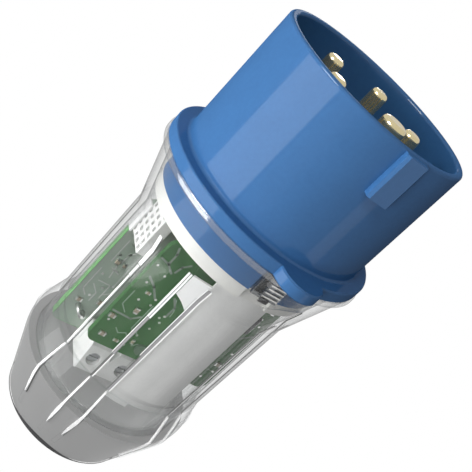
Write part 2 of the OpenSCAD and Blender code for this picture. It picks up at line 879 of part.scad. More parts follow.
module block_clamps(n, d) {
    inner = clamp_size - 2 * clamp_wall;
    len = block_h - 2.6;
    for (i = [0:n - 1])
        translate([pole_x(i, n) - clamp_size / 2, clamp_depth + fit - d, 0.8]) difference() {
            cube([clamp_size, clamp_size, len]);
            translate([clamp_wall, clamp_wall, -1]) cube([inner, inner, len + 2]);
        }
}

module wire_clamps() {
    color("#b9bcc0") {
        at_front_block() block_clamps(front_poles, block_d);
        at_rear_block() block_clamps(rear_poles, rear_block_d);
    }
}

// A white block with rows of square sockets on its outer side
module board_header() {
    rows = 4;
    columns = 6;
    socket = 1.3;
    low_z = rear_top_z + header_rise - header_h;
    row_pitch = header_d / rows;
    column_pitch = header_h / columns;
    color("#e4e4e0") difference() {
        bevel_box([-header_x, rear_front_y - header_d, low_z], [header_w, header_d, header_h], 0.3);
        for (i = [0:rows - 1], j = [0:columns - 1])
            translate([
                -header_x - 1, rear_front_y - header_d + (i + 0.5) * row_pitch - socket / 2,
                low_z + (j + 0.5) * column_pitch - socket / 2
            ]) cube([2.6, socket, socket]);
    }
}

module power_relay() {
    ridge = 0.6;
    inset = 2;
    color("#2f4f8c") union() {
        bevel_box([relay_x, rear_front_y - relay_d, coil_low_z], [relay_w, relay_d, relay_h], 0.8);
        bevel_box(
            [relay_x + inset, rear_front_y - relay_d - ridge, coil_low_z + inset],
            [relay_w - 2 * inset, 2 * ridge, relay_h - 2 * inset], 0.3
        );
    }
}

// A closed core with a wound bobbin through its window
module transformer() {
    coil_r = core_d / 2 - 1.3;
    flange = 0.6;
    window = core_h - 2 * core_leg;
    color("#55504a") translate([0.8 - core_w / 2, rear_front_y - core_d, coil_low_z]) union() {
        difference() {
            bevel_box([0, 0, 0], [core_w, core_d, core_h], 0.5);
            translate([core_leg, -1, core_leg]) cube([core_w - 2 * core_leg, core_d + 2, window]);
        }
        translate([core_w / 2, core_d / 2, core_leg - flange])
            cylinder(r = coil_r - flange, h = window + 2 * flange);
        translate([core_w / 2, core_d / 2, core_leg + 1.5 * flange])
            cylinder(r = coil_r, h = window - 3 * flange);
    }
}

// An electrolytic can with a crimped neck, standing off the rear board
module capacitor(x, z) {
    neck = 0.4;
    translate([x, rear_front_y, z]) rotate([90, 0, 0]) rotate_extrude() polygon(concat(
        [[0, 0], [can_r, 0], [can_r, 1.2], [can_r - neck, 1.6], [can_r - neck, 2], [can_r, 2.4]],
        arc(can_r - 0.5, can_h - 0.5, 0.5, 0, 90), [[0, can_h]]
    ));
}

module capacitors() {
    color("#30343a") {
        capacitor(relay_x + relay_w / 2, coil_low_z - can_r - can_gap);
        capacitor(0, coil_low_z - can_r - 2 * can_gap);
    }
}

module chip(x, y, z, w, h) {
    bevel_box([x - w / 2, y, z - h / 2], [w, chip_t, h], 0.2);
}

module control_chips() {
    color("#1d1e20") {
        chip(small_chip_x, main_front_y - chip_t, main_top_z - small_chip_drop, small_chip_w, small_chip_h);
        chip(0, rear_back_y, coil_low_z + chip_gap + chip_w / 2, chip_w, chip_w);
        chip(-small_chip_x, rear_back_y, coil_low_z - small_chip_h, small_chip_w, small_chip_h);
    }
}

// A bent wire that bridges two pads near the rear board's lower corner
module wire_link() {
    rise = 1.2;
    tail = 0.7;
    color("#d9d7d4") {
        translate([link_x, rear_front_y - rise, link_z]) rotate([0, link_angle, 0]) rotate([0, 0, 180])
            rotate_extrude(angle = 180) translate([link_bend_r, 0]) circle(r = link_wire_r, $fn = 24);
        at_link_legs() translate([0, -rise, 0]) rotate([-90, 0, 0])
            cylinder(r = link_wire_r, h = rise + board_t + tail, $fn = 24);
    }
}

nose_shroud();
contact_carrier();
contact_pin_l1();
contact_pin_l2();
contact_pin_l3();
neutral_pin();
earth_pin();
contact_holder();
holder_screws();
contact_leads();
nose_seal();
clear_housing();
lock_catch();
gland_nut();
gland_insert();
cable_seal();
main_board();
rear_board();
board_posts();
inner_cover();
terminal_block();
terminal_screws();
wire_clamps();
board_header();
power_relay();
transformer();
capacitors();
control_chips();
wire_link();
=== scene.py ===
import math

import bpy
import numpy as np
from mathutils import Matrix


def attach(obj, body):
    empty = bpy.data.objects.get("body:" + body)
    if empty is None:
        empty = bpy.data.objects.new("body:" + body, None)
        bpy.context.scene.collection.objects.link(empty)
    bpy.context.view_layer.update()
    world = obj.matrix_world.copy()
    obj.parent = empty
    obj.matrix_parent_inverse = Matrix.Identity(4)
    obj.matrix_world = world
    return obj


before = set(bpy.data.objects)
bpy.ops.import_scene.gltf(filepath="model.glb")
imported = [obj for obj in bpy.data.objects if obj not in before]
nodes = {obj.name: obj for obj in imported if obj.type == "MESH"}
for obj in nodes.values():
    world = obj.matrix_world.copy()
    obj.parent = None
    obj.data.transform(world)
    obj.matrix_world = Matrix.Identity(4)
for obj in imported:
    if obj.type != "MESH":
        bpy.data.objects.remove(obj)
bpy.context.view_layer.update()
scene = bpy.context.scene
mm = 0.001

# Camera, placed in the frame of the part
camera = {
    "place": (-0.113412, -0.170054, 0.165935),
    "right": (0.74462, -0.16096, 0.64779),
    "up": (-0.43119, 0.62482, 0.65090),
    "forward": (0.50952, 0.76399, -0.39586),
    "lens": 64.14,
    "sensor": 36.0,
    "near": 0.005,
    "far": 20.0,
}


def makeCamera():
    data = bpy.data.cameras.new("studioCamera")
    data.lens = camera["lens"]
    data.sensor_width = camera["sensor"]
    data.clip_start = camera["near"]
    data.clip_end = camera["far"]
    eye = bpy.data.objects.new("studioCamera", data)
    scene.collection.objects.link(eye)
    turn = Matrix((camera["right"], camera["up"], [-v for v in camera["forward"]])).transposed()
    eye.matrix_world = Matrix.Translation(camera["place"]) @ turn.to_4x4()
    scene.camera = eye


# Studio: a pale floor well below the part and a white backdrop. Fill and floorShade are what matte
# faces get, roomGloss and floorGloss are what gloss mirrors, and rays may cross many clear walls
studio = {
    "floorDrop": -0.25,
    "floorHalf": 4.0,
    "fill": 0.24,
    "floorShade": 0.30,
    "roomGloss": 0.62,
    "floorGloss": 0.55,
    "wallCrossings": 32,
}
# Soft panels: place, what it points at, size and watts. Matte or gloss is off where a panel serves
# only the other
panels = {
    "leftPanel": {
        "place": (-0.20, -0.035, 0.035), "aim": (0, -0.035, 0.035), "size": (0.17, 0.17), "watts": 0.227,
    },
    "keyPanel": {
        "place": (-0.42, -0.42, 0.02), "aim": (0, 0, 0.08), "size": (0.30, 0.30), "watts": 1.3,
        "gloss": False,
    },
    "sidePanel": {
        "place": (-0.62, 0.06, 0.10), "aim": (0, 0, 0.06), "size": (0.30, 0.30), "watts": 1.9,
        "gloss": False,
    },
    "topPanel": {
        "place": (-0.10, 0.30, 0.55), "aim": (0, 0, 0.08), "size": (0.30, 0.30), "watts": 0.5,
        "gloss": False,
    },
    "mouthPanel": {
        "place": (-0.34, -0.30, 0.62), "aim": (0, 0, 0.11), "size": (0.20, 0.20), "watts": 1.0,
        "gloss": False,
    },
    "pinPanel": {
        "place": (-0.50, -0.10, 0.42), "aim": (0, 0, 0.12), "size": (0.22, 0.22), "watts": 2.0,
        "matte": False,
    },
    "backPanel": {
        "place": (0.30, 0.58, 0.10), "aim": (0, 0, 0.06), "size": (0.30, 0.30), "watts": 1.6,
        "gloss": False,
    },
    "rimPanel": {
        "place": (0.278, 0.536, 0.230), "aim": (0, 0, 0.13), "size": (0.12, 0.055), "watts": 0.14,
        "matte": False,
    },
    "ribPanel": {
        "place": (0.28, -0.37, -0.02), "aim": (0, -0.0375, 0.098), "size": (0.12, 0.47), "watts": 0.115,
        "matte": False,
    },
}
white = (1, 1, 1, 1)


def addNode(tree, kind, **values):
    node = tree.nodes.new(kind)
    for socket, value in values.items():
        node.inputs[socket.replace("_", " ")].default_value = value
    return node


def feed(tree, value, socket):
    # A number is set on the socket, another node's output is linked to it
    if isinstance(value, (int, float)):
        socket.default_value = value
    else:
        tree.links.new(value, socket)


def mathNode(tree, kind, *values):
    # A Math node of the named kind, fed with numbers or other nodes' outputs
    node = tree.nodes.new("ShaderNodeMath")
    node.operation = kind
    for value, socket in zip(values, node.inputs):
        feed(tree, value, socket)
    return node.outputs[0]


def mixed(tree, share, first, second, surface=None):
    # A share of the second shader over the first, put out to the surface socket if one is given
    mix = tree.nodes.new("ShaderNodeMixShader")
    feed(tree, share, mix.inputs[0])
    tree.links.new(first.outputs[0], mix.inputs[1])
    tree.links.new(second.outputs[0], mix.inputs[2])
    if surface:
        tree.links.new(mix.outputs[0], surface)
    return mix


def makePanel(name, facts):
    data = bpy.data.lights.new(name, "AREA")
    data.shape = "RECTANGLE"
    data.size, data.size_y = facts["size"]
    data.energy = facts["watts"]
    lamp = bpy.data.objects.new(name, data)
    scene.collection.objects.link(lamp)
    back = np.array(facts["place"], float) - np.array(facts["aim"], float)
    back /= np.linalg.norm(back)
    side = np.cross((0.0, 0.0, 1.0), back)
    side /= np.linalg.norm(side)
    turn = Matrix((side, np.cross(back, side), back)).transposed()
    lamp.matrix_world = Matrix.Translation(facts["place"]) @ turn.to_4x4()
    lamp.visible_camera = False
    lamp.visible_transmission = False
    lamp.visible_glossy = facts.get("gloss", True)
    lamp.visible_diffuse = facts.get("matte", True)


def pathFlag(tree, *kinds):
    # 1 for the one or two kinds of ray that are named
    path = tree.nodes.new("ShaderNodeLightPath")
    return mathNode(tree, "MAXIMUM", path.outputs[kinds[0]], path.outputs[kinds[-1]])


def layered(tree, matte, gloss, bright, out):
    # What matte faces see, what gloss sees, and white for the camera and through clear walls
    inner = mixed(tree, pathFlag(tree, "Is Glossy Ray"), matte, gloss)
    direct = pathFlag(tree, "Is Camera Ray", "Is Transmission Ray")
    mixed(tree, direct, inner, bright, out.inputs["Surface"])


def makeRoom():
    world = bpy.data.worlds.new("studioWorld")
    world.use_nodes = True
    scene.world = world
    tree = world.node_tree
    tree.nodes.clear()
    strengths = (studio["fill"], studio["roomGloss"], 1.0)
    shades = [addNode(tree, "ShaderNodeBackground", Color=white, Strength=v) for v in strengths]
    layered(tree, *shades, tree.nodes.new("ShaderNodeOutputWorld"))


def makeFloor():
    half, low = studio["floorHalf"], studio["floorDrop"]
    corners = [(-half, -half, low), (half, -half, low), (half, half, low), (-half, half, low)]
    mesh = bpy.data.meshes.new("studioFloor")
    mesh.from_pydata(corners, [], [(0, 1, 2, 3)])
    floor = bpy.data.objects.new("studioFloor", mesh)
    scene.collection.objects.link(floor)
    paper = bpy.data.materials.new("floorPaper")
    paper.use_nodes = True
    tree = paper.node_tree
    tree.nodes.clear()
    matte = addNode(tree, "ShaderNodeBsdfDiffuse", Color=(studio["floorShade"],) * 3 + (1,))
    strengths = (studio["floorGloss"], 1.0)
    glows = [addNode(tree, "ShaderNodeEmission", Color=white, Strength=v) for v in strengths]
    layered(tree, matte, *glows, tree.nodes.new("ShaderNodeOutputMaterial"))
    mesh.materials.append(paper)


def makeStudio():
    makeRoom()
    makeFloor()
    for name, facts in panels.items():
        makePanel(name, facts)
    scene.view_settings.view_transform = "Standard"
    scene.cycles.transparent_max_bounces = studio["wallCrossings"]


makeCamera()
makeStudio()
print("camera and studio are set")


# Finishes: base colour, roughness, metal and an even emission that paints light onto parts that are no
# lamps. Grain, in cycles per metre, varies the tone by vary and raises the face by bump
moulded = {"grain": 900, "vary": 0.05, "bump": 0.02}
plated = {"metal": 1.0, "grain": 1500, "vary": 0.1, "bump": 0.03}
printed = {"rough": 0.4, "grain": 2000, "vary": 0.1, "bump": 0.03}
finishes = {
    "blueShell": {
        **moulded, "base": (0.046, 0.148, 0.35), "rough": 0.5, "vary": 0.06,
        "specular": 0.0, "sheen": 0.032, "sheenRough": 0.09,
    },
    "darkInsulator": {
        "base": (0.030, 0.055, 0.11), "rough": 0.5, "grain": 1200, "vary": 0.12, "bump": 0.05,
    },
    "palePlastic": {**moulded, "base": (0.84, 0.835, 0.80), "rough": 0.38, "grain": 1000},
    "coverPlastic": {**moulded, "base": (0.84, 0.84, 0.83), "rough": 0.35, "grain": 1100},
    "blockWhite": {**moulded, "base": (0.88, 0.88, 0.87), "rough": 0.32},
    # Painted light: the insert's emission lifts its shade to an even grey
    "greyInsert": {
        "base": (0.34, 0.34, 0.345), "rough": 0.42, "paintedGlow": 0.11, "grain": 800, "vary": 0.06,
        "bump": 0.03,
    },
    # Painted light: the skin's emission evens out the shade on it
    "insertSkin": {
        **moulded, "base": (0.11, 0.11, 0.11), "rough": 0.45, "paintedGlow": 0.19, "grain": 500, "vary": 0.04,
    },
    # Painted light: the sheet's emission lifts the shade in the funnel
    "sheetGrey": {
        **moulded, "base": (0.34, 0.34, 0.34), "rough": 0.6, "paintedGlow": 0.16, "grain": 700, "vary": 0.03,
    },
    "sealRubber": {"base": (0.035, 0.035, 0.037), "rough": 0.7, "grain": 1600, "vary": 0.2, "bump": 0.08},
    "relayBlue": {**moulded, "base": (0.04, 0.09, 0.30), "rough": 0.3, "vary": 0.06},
    "ferriteDark": {"base": (0.09, 0.082, 0.075), "rough": 0.6, "grain": 2000, "vary": 0.2, "bump": 0.08},
    "canBlack": {**moulded, "base": (0.03, 0.035, 0.04), "rough": 0.35, "vary": 0.1},
    "chipBlack": {"base": (0.018, 0.018, 0.02), "rough": 0.55, "grain": 3000, "vary": 0.2, "bump": 0.06},
    "postDark": {**moulded, "base": (0.10, 0.17, 0.11), "rough": 0.5, "vary": 0.1, "bump": 0.03},
    # Painted light: a faint emission on the brass
    "brass": {
        **plated, "base": (0.95, 0.81, 0.47), "rough": 0.18, "metal": 0.88, "paintedGlow": 0.01,
        "vary": 0.06, "bump": 0.006,
    },
    "leadCopper": {**plated, "base": (0.80, 0.52, 0.33), "rough": 0.32},
    "screwSteel": {**plated, "base": (0.62, 0.63, 0.64), "rough": 0.28, "vary": 0.08},
    "tinned": {**plated, "base": (0.78, 0.78, 0.77), "rough": 0.3, "grain": 2500, "bump": 0.05},
    "catchMetal": {**plated, "base": (0.16, 0.165, 0.17), "rough": 0.16, "metal": 0.85, "vary": 0.2},
    "catchBright": {**plated, "base": (0.55, 0.54, 0.52), "rough": 0.18, "metal": 0.9, "vary": 0.15},
    "catchDark": {**plated, "base": (0.03, 0.03, 0.032), "rough": 0.2, "metal": 0.0, "vary": 0.2},
    # Painted highlight: glowing bars where the clear rails and the nut's ribs catch the light
    "railHighlight": {**moulded, "base": (0.86, 0.86, 0.86), "rough": 0.25, "vary": 0.04, "paintedGlow": 0.25},
    # Painted shade: thin dark lines beside the painted highlights
    "railShade": {**moulded, "base": (0.16, 0.165, 0.16), "rough": 0.4, "vary": 0.1},
    # Painted half shade: mid-grey bars inside the clear rails
    "railHalfShade": {**moulded, "base": (0.38, 0.375, 0.385), "rough": 0.35, "vary": 0.06},
    # Painted light: a faint emission on the white wing and the header foot
    "wingWhite": {**moulded, "base": (0.86, 0.86, 0.86), "rough": 0.35, "vary": 0.03, "paintedGlow": 0.1},
    # Partly painted light: the laminate edges' own lighter green, made brighter for the light they catch
    "edgeGreen": {"base": (0.17, 0.50, 0.15), "rough": 0.5, "grain": 2500, "vary": 0.15, "bump": 0.06},
    "runGrey": {**printed, "base": (0.24, 0.30, 0.25)},
    "runPale": {**printed, "base": (0.30, 0.42, 0.32)},
    "runWhite": {**printed, "base": (0.55, 0.57, 0.55), "rough": 0.45},
    "partTan": {"base": (0.42, 0.36, 0.27), "rough": 0.45, "grain": 3000, "vary": 0.15, "bump": 0.04},
}
# How the grain works on every finish: broad patches this much larger than the fine grain, the share
# of the noise that the tones span, and how far the roughness strays
grainWork = {"broader": 12, "tones": (0.3, 0.7), "gloss": (0.85, 1.15), "relief": 0.0002}


def grainSource(tree, scale, detail=3.0):
    # Noise over the object's own coordinates, in cycles per metre
    place = tree.nodes.new("ShaderNodeTexCoord")
    noise = addNode(tree, "ShaderNodeTexNoise", Scale=scale, Detail=detail, Roughness=0.6)
    tree.links.new(place.outputs["Object"], noise.inputs["Vector"])
    return noise.outputs["Fac"]


def toneRamp(tree, base, vary):
    # From a darker to a lighter tone of the base colour
    ramp = tree.nodes.new("ShaderNodeValToRGB")
    shades = ([c * (1 - vary) for c in base], [min(1.0, c * (1 + vary)) for c in base])
    for stop, share, shade in zip(ramp.color_ramp.elements, grainWork["tones"], shades):
        stop.position = share
        stop.color = (*shade, 1)
    return ramp


def raised(tree, height, strength, relief):
    # The face's normal, tilted as if the height stood out by so much
    bump = addNode(tree, "ShaderNodeBump", Strength=strength, Distance=relief)
    tree.links.new(height, bump.inputs["Height"])
    return bump.outputs[0]


def glossOver(tree, share, under, rough, normal):
    # A share of plain gloss over another shader, put out as the material's surface
    gloss = addNode(tree, "ShaderNodeBsdfAnisotropic", Roughness=rough)
    tree.links.new(normal, gloss.inputs["Normal"])
    mixed(tree, share, under, gloss, tree.nodes["Material Output"].inputs["Surface"])


def makeFinish(name, facts):
    # Tone = ramp of half the fine noise plus half the broad noise. The roughness strays with the
    # broad noise, and the fine noise raises the face
    material = bpy.data.materials.new(name)
    material.use_nodes = True
    tree = material.node_tree
    shader = tree.nodes["Principled BSDF"]
    shader.inputs["Metallic"].default_value = facts.get("metal", 0.0)
    shader.inputs["IOR"].default_value = 1.5
    shader.inputs["Specular IOR Level"].default_value = facts.get("specular", 0.5)
    # Painted light: an even emission on a part that is no lamp
    if "paintedGlow" in facts:
        shader.inputs["Emission Color"].default_value = white
        shader.inputs["Emission Strength"].default_value = facts["paintedGlow"]
    fine = grainSource(tree, facts["grain"])
    broad = grainSource(tree, facts["grain"] / grainWork["broader"], 2.0)
    ramp = toneRamp(tree, facts["base"], facts["vary"])
    both = mathNode(tree, "MULTIPLY_ADD", fine, 0.5, mathNode(tree, "MULTIPLY", broad, 0.5))
    tree.links.new(both, ramp.inputs[0])
    tree.links.new(ramp.outputs[0], shader.inputs["Base Color"])
    low, high = (facts["rough"] * share for share in grainWork["gloss"])
    spread = addNode(tree, "ShaderNodeMapRange", To_Min=low, To_Max=high)
    tree.links.new(broad, spread.inputs["Value"])
    tree.links.new(spread.outputs[0], shader.inputs["Roughness"])
    normal = raised(tree, fine, facts["bump"], grainWork["relief"])
    tree.links.new(normal, shader.inputs["Normal"])
    if "sheen" in facts:  # an even gloss over the whole face, the same from every side
        glossOver(tree, facts["sheen"], shader, facts["sheenRough"], normal)
    return material


# Clear moulded plastic: the tint where it is seen square on and aslant, how aslant the tint starts,
# the gloss seen square on, and the flow marks of the moulding
clearPlastic = {
    "facing": (0.985, 0.988, 0.988),
    "edge": (0.90, 0.905, 0.905),
    "tintStart": 0.45,
    "head": 0.04,
    "rough": 0.04,
    "grain": 160,
    "bump": 0.02,
    "relief": 0.001,
}
beadPlastic = {**clearPlastic, "head": 0.20, "rough": 0.07}


def makeClear(name, facts):
    # Sees straight through, with gloss that grows to the edges as head + (1 - head) * (1 - cos)^5
    # and a tint that deepens where the wall is seen aslant
    material = bpy.data.materials.new(name)
    material.use_nodes = True
    tree = material.node_tree
    tree.nodes.remove(tree.nodes["Principled BSDF"])
    normal = raised(tree, grainSource(tree, facts["grain"], 1.0), facts["bump"], facts["relief"])
    aslant = addNode(tree, "ShaderNodeLayerWeight", Blend=0.5)
    share = addNode(tree, "ShaderNodeMapRange", To_Min=facts["head"])
    tree.links.new(mathNode(tree, "POWER", aslant.outputs["Facing"], 5.0), share.inputs["Value"])
    ramp = tree.nodes.new("ShaderNodeValToRGB")
    ramp.color_ramp.elements[0].position = facts["tintStart"]
    ramp.color_ramp.elements[0].color = (*facts["facing"], 1)
    ramp.color_ramp.elements[1].color = (*facts["edge"], 1)
    tree.links.new(aslant.outputs["Facing"], ramp.inputs[0])
    through = tree.nodes.new("ShaderNodeBsdfTransparent")
    tree.links.new(ramp.outputs[0], through.inputs["Color"])
    glossOver(tree, share.outputs[0], through, facts["rough"], normal)
    return material


# Solder mask: its colour, and the lighter one where copper lies under it
boardFinishes = {
    "mainGreen": {"mask": (0.030, 0.140, 0.030), "pour": (0.046, 0.165, 0.045), "rough": 0.30},
    "rearGreen": {"mask": (0.33, 0.41, 0.34), "pour": (0.37, 0.44, 0.37), "rough": 0.36},
}
boardWork = {"weave": 1800, "weaveBump": 0.05, "patch": 70, "patchEdge": (0.50, 0.52)}


def makeBoardFinish(name, facts):
    # The laminate's weave, and patches of the two tones with a sharp edge between them
    material = bpy.data.materials.new(name)
    material.use_nodes = True
    tree = material.node_tree
    shader = tree.nodes["Principled BSDF"]
    low, high = boardWork["patchEdge"]
    step = addNode(tree, "ShaderNodeMapRange", From_Min=low, From_Max=high)
    tree.links.new(grainSource(tree, boardWork["patch"], 0.0), step.inputs["Value"])
    mix = tree.nodes.new("ShaderNodeMix")
    mix.data_type = "RGBA"
    mix.inputs["A"].default_value = (*facts["mask"], 1)
    mix.inputs["B"].default_value = (*facts["pour"], 1)
    tree.links.new(step.outputs[0], mix.inputs["Factor"])
    tree.links.new(mix.outputs["Result"], shader.inputs["Base Color"])
    shader.inputs["Roughness"].default_value = facts["rough"]
    weave = grainSource(tree, boardWork["weave"])
    normal = raised(tree, weave, boardWork["weaveBump"], grainWork["relief"])
    tree.links.new(normal, shader.inputs["Normal"])
    return material


materials = {name: makeFinish(name, facts) for name, facts in finishes.items()}
materials["clearHousing"] = makeClear("clearHousing", clearPlastic)
materials["beadClear"] = makeClear("beadClear", beadPlastic)
for name, facts in boardFinishes.items():
    materials[name] = makeBoardFinish(name, facts)
print("finishes made:", len(materials))

wears = {
    "nose_shroud": "blueShell",
    "contact_carrier": "darkInsulator",
    "contact_pin_l1": "brass",
    "contact_pin_l2": "brass",
    "contact_pin_l3": "brass",
    "neutral_pin": "brass",
    "earth_pin": "brass",
    "contact_holder": "palePlastic",
    "holder_screws": "screwSteel",
    "contact_leads": "leadCopper",
    "nose_seal": "sealRubber",
    "clear_housing": "clearHousing",
    "lock_catch": "catchMetal",
    "gland_nut": "clearHousing",
    "gland_insert": "greyInsert",
    "cable_seal": "sealRubber",
    "main_board": "mainGreen",
    "rear_board": "rearGreen",
    "board_posts": "postDark",
    "inner_cover": "coverPlastic",
    "terminal_block": "blockWhite",
    "terminal_screws": "screwSteel",
    "wire_clamps": "screwSteel",
    "board_header": "blockWhite",
    "power_relay": "relayBlue",
    "transformer": "ferriteDark",
    "capacitors": "canBlack",
    "control_chips": "chipBlack",
    "wire_link": "tinned",
}
for nodeName, finish in wears.items():
    for slot in nodes[nodeName].material_slots:
        slot.material = materials[finish]
print("finishes put on the nodes")


# Shapes, in millimetres. Angles are in degrees from the key, which faces -Y
def loft(rings):
    # Closed skin through rings of points: each ring turns left about the way forward, and the
    # first and last rings are capped
    count, size = rings.shape[:2]
    one = np.arange(size)
    two = (one + 1) % size
    start = (np.arange(count - 1) * size)[:, None]
    sides = np.stack([start + one, start + two, start + two + size, start + one + size], -1)
    caps = [one[::-1].tolist(), (one + (count - 1) * size).tolist()]
    return rings.reshape(-1, 3), sides.reshape(-1, 4).tolist() + caps


def lathe(profile, steps=128):
    # A closed outline of (radius, height) points, anticlockwise, carried round the axis: each point
    # goes to (radius cos turn, radius sin turn, height). One outline for every turn, or one for each
    turn = np.linspace(0, 2 * math.pi, steps, endpoint=False)[:, None]
    radius, height = np.moveaxis(np.array(profile, float), -1, 0)
    points = np.stack([radius * np.cos(turn), radius * np.sin(turn), height + 0 * turn], -1)
    size = points.shape[1]
    one = np.arange(size)
    two = (one + 1) % size
    here = (np.arange(steps) * size)[:, None]
    ahead = ((np.arange(steps) + 1) % steps * size)[:, None]
    faces = np.stack([here + one, ahead + one, ahead + two, here + two], -1)
    return points.reshape(-1, 3), faces.reshape(-1, 4).tolist()


def boxes(corners):
    # One closed box for each pair of corners: each point = low + pick * (high - low)
    low, high = np.swapaxes(np.array(corners, float), 0, 1)
    pick = np.array([[x, y, z] for z in (0, 1) for x, y in ((0, 0), (1, 0), (1, 1), (0, 1))])
    points = low[:, None] + pick * (high - low)[:, None]
    side = np.array([[0, 3, 2, 1], [4, 5, 6, 7], [0, 1, 5, 4], [1, 2, 6, 5], [2, 3, 7, 6], [3, 0, 4, 7]])
    faces = side + 8 * np.arange(len(low))[:, None, None]
    return points.reshape(-1, 3), faces.reshape(-1, 4).tolist()


def strand(angle, heights, inner, outer, widths, shift=0.0):
    # A bar along the plug at an angle from the key: at each height a rectangle from the inner to the
    # outer radius, so wide and so far to one side
    turn = math.radians(angle - 90)
    heights, inner, outer, widths = np.broadcast_arrays(heights, inner, outer, widths)
    radial = np.stack([inner, outer, outer, inner], -1)
    across = np.stack([-widths, -widths, widths, widths], -1) / 2 + shift
    x = radial * math.cos(turn) - across * math.sin(turn)
    y = radial * math.sin(turn) + across * math.cos(turn)
    return loft(np.stack([x, y, heights[:, None] + 0 * x], -1))


def plate(outline, back, front):
    # A flat outline of (x, z) points, anticlockwise from the front, given a thickness along Y
    flat = np.array(outline, float)
    if front > back:
        flat = flat[::-1]
    rings = [np.stack([flat[:, 0], np.full(len(flat), y), flat[:, 1]], -1) for y in (back, front)]
    return loft(np.array(rings))


def tracks(paths, width, face, out):
    # Flat runs on a board: each straight leg is a bar so wide, standing out from the board's face and
    # half a width longer at both ends
    parts = []
    for path in paths:
        ends = np.array(path, float)
        for low, high in zip(ends[:-1], ends[1:]):
            along = (high - low) / np.linalg.norm(high - low) * width / 2
            over = np.array([-along[1], along[0]])
            near, far = low - along, high + along
            parts.append(plate([near - over, far - over, far + over, near + over], face, face + out))
    return joined(parts)


def dots(centres, radius, face, out, sides=16):
    # Round pads: a many-sided plate about each centre
    turn = np.linspace(0, 2 * math.pi, sides, endpoint=False)
    ring = radius * np.stack([np.cos(turn), np.sin(turn)], -1)
    return joined([plate(np.array(c) + ring, face, face + out) for c in centres])


def joined(parts):
    # Shapes put together as one: each one's faces count on from the points before it
    points, faces, start = [], [], 0
    for some, sides in parts:
        points.append(some)
        faces += [[i + start for i in side] for side in sides]
        start += len(some)
    return np.vstack(points), faces


# Edges that turn by more than this stay sharp on a smooth piece
creaseAngle = math.radians(35)


def addPiece(name, shape, finish, body="plug_body", bevel=0.0, smooth=False):
    points, faces = shape
    mesh = bpy.data.meshes.new(name)
    mesh.from_pydata((points * mm).tolist(), [], faces)
    mesh.materials.append(materials[finish])
    if smooth:
        mesh.shade_smooth()
        mesh.set_sharp_from_angle(angle=creaseAngle)
    piece = bpy.data.objects.new(name, mesh)
    scene.collection.objects.link(piece)
    if bevel:
        edge = piece.modifiers.new("edge", "BEVEL")
        edge.width = bevel * mm
        edge.segments = 2
    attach(piece, body)


# The clear barrel's outer face, from its seam with the nut to the cone's foot and on up the cone
barrel = {
    "seam": 32.0,
    "seamRadius": 25.6,
    "taper": 0.0134,
    "coneFoot": 69.5,
    "footRadius": 26.1,
    "coneSlope": 0.293,
}
# The clear guide rails get their light painted on: glowing bars of painted highlight, thin dark bars of
# painted shade and mid-grey bars of painted half shade: (low height, high height, shift to one side,
# width, finish). Each bar lies so far under the barrel's face, is so deep, and may bend at the breaks.
# The rails that the photo's side shows best have their own bars
rails = {
    "angles": (-105, -61.2, -36.3, -23.2, 23.2, 36.3, 61.2, 105),
    "under": 0.1,
    "deep": 0.3,
    "breaks": (40, 50, 60),
    "plain": [
        (32.3, 74.5, 0.0, 0.42, "railHighlight"),
        (32.3, 74.5, -0.30, 0.12, "railShade"),
        (32.3, 74.5, 0.30, 0.12, "railShade"),
    ],
    "seen": {
        -36.3: [
            (57, 74.5, -0.36, 0.50, "railHighlight"),
            (57, 74.5, -0.02, 0.14, "railShade"),
            (57, 74.5, 0.33, 0.46, "railHighlight"),
            (42, 57, -0.46, 0.22, "railHighlight"),
            (42, 57, -0.27, 0.14, "railShade"),
            (42, 57, 0.08, 0.50, "railHalfShade"),
            (42, 57, 0.42, 0.14, "railShade"),
            (32.3, 42, -0.05, 0.55, "railShade"),
            (32.3, 42, 0.38, 0.26, "railHighlight"),
        ],
        -23.2: [
            (47, 74.5, -0.66, 0.20, "railHighlight"),
            (47, 74.5, -0.49, 0.12, "railShade"),
            (47, 74.5, -0.06, 0.66, "railHalfShade"),
            (47, 74.5, 0.46, 0.34, "railHighlight"),
            (32.3, 47, -0.42, 0.20, "railShade"),
            (32.3, 47, 0.0, 0.58, "railHalfShade"),
            (32.3, 47, 0.44, 0.26, "railHighlight"),
        ],
        -61.2: [
            (32.3, 59.6, 0.0, 0.46, "railHighlight"),
            (60.0, 63.7, 0.0, 0.60, "railHighlight"),
            (64.1, 74.5, 0.0, 1.05, "railHighlight"),
            (32.3, 74.5, 0.66, 0.10, "railShade"),
        ],
    },
}


def barrelOuter(heights):
    # Radius = seam's radius + taper * rise above the seam, or past the cone's foot the foot's radius
    # + slope * rise above the foot
    low = barrel["seamRadius"] + barrel["taper"] * (heights - barrel["seam"])
    high = barrel["footRadius"] + barrel["coneSlope"] * (heights - barrel["coneFoot"])
    return np.where(heights < barrel["coneFoot"], low, high)


def makeRails():
    # Each bar = strand from the outer radius less its depth to the outer radius, at its own heights
    bars = {"railHighlight": [], "railShade": [], "railHalfShade": []}
    for angle in rails["angles"]:
        for low, high, shift, width, finish in rails["seen"].get(angle, rails["plain"]):
            heights = np.unique(np.clip([low, *rails["breaks"], barrel["coneFoot"], high], low, high))
            outer = barrelOuter(heights) - rails["under"]
            bars[finish].append(strand(angle, heights, outer - rails["deep"], outer, width, shift))
    # Painted highlights, painted shade lines and painted half shade in the clear rails
    addPiece("rail_highlights", joined(bars["railHighlight"]), "railHighlight")
    addPiece("rail_shade_lines", joined(bars["railShade"]), "railShade")
    addPiece("rail_half_shades", joined(bars["railHalfShade"]), "railHalfShade")


# The nut's flank: a straight tail cone up to the bulge, then down to the front edge
flank = {
    "heights": (0.9, 18.7, 20.5, 22.3, 24.1, 25.9, 31.9),
    "radii": (20.8, 27.0, 27.55, 27.82, 27.75, 27.2, 25.75),
}
